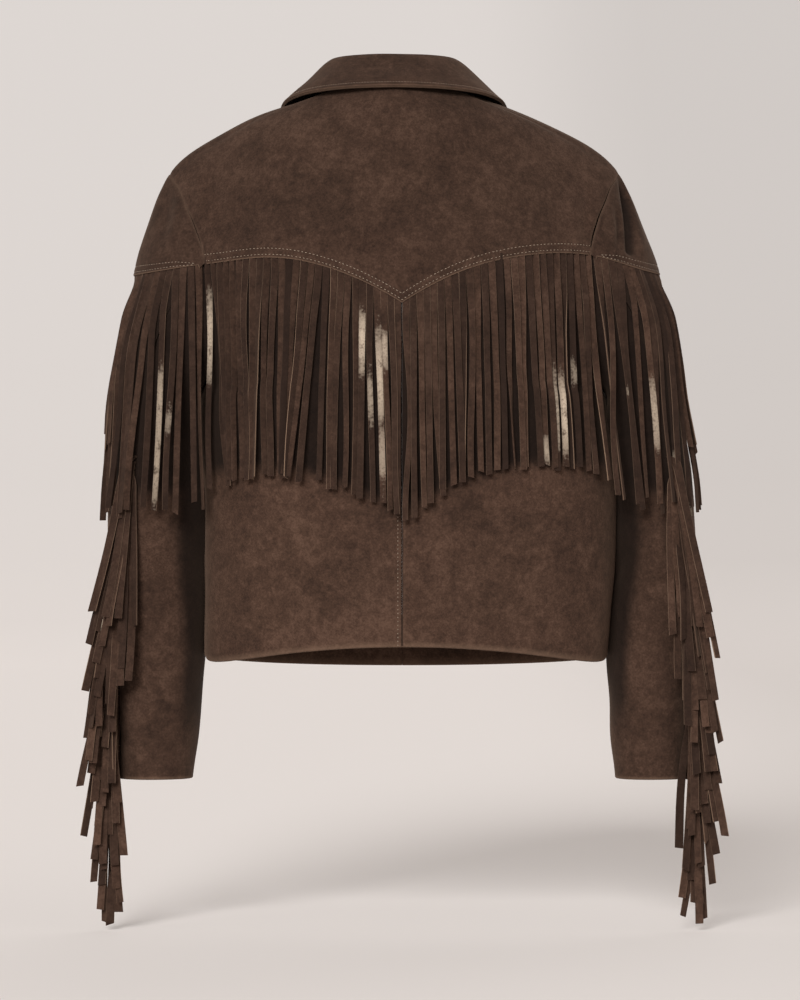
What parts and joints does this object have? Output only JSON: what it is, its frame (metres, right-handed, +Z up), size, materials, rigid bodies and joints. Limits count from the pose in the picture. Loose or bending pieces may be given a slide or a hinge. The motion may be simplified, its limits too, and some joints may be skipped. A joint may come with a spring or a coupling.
{
  "type": "fringed suede jacket, filled out with no wearer",
  "caption": "Short western-style suede jacket with a shirt collar, a pointed back yoke and long cut fringe on the back, sleeve caps and outer sleeve seams, in hollow worn form.",
  "frame": {"origin": "midway between the points where the collar crosses the wearer's shoulders, at the height where the shoulders carry the jacket", "axes": "+Z up, the front faces -Y and the fringed back +Y, the wearer's left is +X; metres"},
  "size_m": [0.648, 0.264, 0.8708],
  "materials": {
    "suede_body": "dark brown suede, matt nap with lighter rubbed patches",
    "suede_yoke": "dark brown suede, slightly lighter, double topstitched in tan thread along its lower edge",
    "suede_sleeve": "dark brown suede, matt nap",
    "suede_collar": "dark brown suede, two layers, one row of topstitching",
    "suede_fringe": "dark brown suede strips with lighter cut edges, a few worn to a pale metallic sheen"
  },
  "bodies": {
    "root": {"back_panel_left": "suede_body", "back_panel_right": "suede_body", "front_panel_left": "suede_body", "front_panel_right": "suede_body", "back_yoke": "suede_yoke", "sleeve_cap_yoke_left": "suede_yoke", "sleeve_cap_yoke_right": "suede_yoke", "top_sleeve_left": "suede_sleeve", "top_sleeve_right": "suede_sleeve", "under_sleeve_left": "suede_sleeve", "under_sleeve_right": "suede_sleeve", "collar_fall": "suede_collar", "collar_stand": "suede_collar", "back_fringe_left": "suede_fringe", "back_fringe_right": "suede_fringe", "cap_fringe_left": "suede_fringe", "cap_fringe_right": "suede_fringe", "sleeve_fringe_left": "suede_fringe", "sleeve_fringe_right": "suede_fringe"}
  },
  "joints": []
}
